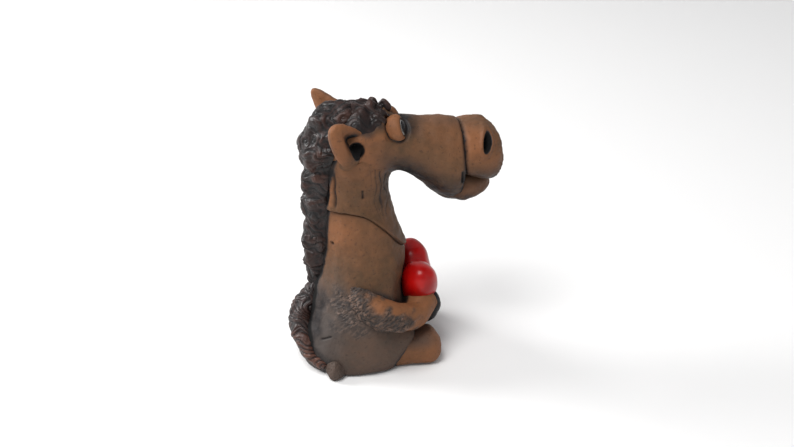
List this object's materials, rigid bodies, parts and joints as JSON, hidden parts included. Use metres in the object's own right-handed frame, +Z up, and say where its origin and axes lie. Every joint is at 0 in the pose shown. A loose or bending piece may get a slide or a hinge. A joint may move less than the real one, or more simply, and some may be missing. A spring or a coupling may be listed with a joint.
{
  "type": "bankura horse figurine",
  "caption": "Seated clay horse figurine with dark glazed mane and tail, big muzzle and side-set ears, hugging a glossy red heart; stands on its flat base.",
  "frame": {"origin": "middle of the base disc's underside, on the table", "axes": "+X the way the horse faces, +Y its left side, +Z up"},
  "size_m": [0.0875, 0.058, 0.1111],
  "materials": {
    "clay": "matte fired clay, stained",
    "grey_clay": "matte fired clay",
    "dark_glaze": "glossy",
    "black_glaze": "glossy",
    "white_glaze": "glossy",
    "red_glaze": "glossy"
  },
  "bodies": {
    "root": {"arm_left": "clay", "arm_right": "clay", "base_disc": "clay", "body_shell": "clay", "ear_left": "clay", "ear_right": "clay", "eyeball_left": "white_glaze", "eyeball_right": "white_glaze", "eyelid_left": "clay", "eyelid_right": "clay", "forelock": "dark_glaze", "front_hoof_left": "black_glaze", "front_hoof_right": "black_glaze", "head": "clay", "heart": "red_glaze", "leg_left": "clay", "leg_right": "clay", "lower_lip": "clay", "mane": "dark_glaze", "muzzle": "clay", "neck": "clay", "pupil_left": "black_glaze", "pupil_right": "black_glaze", "tail": "dark_glaze", "tail_tip": "grey_clay"}
  },
  "joints": []
}
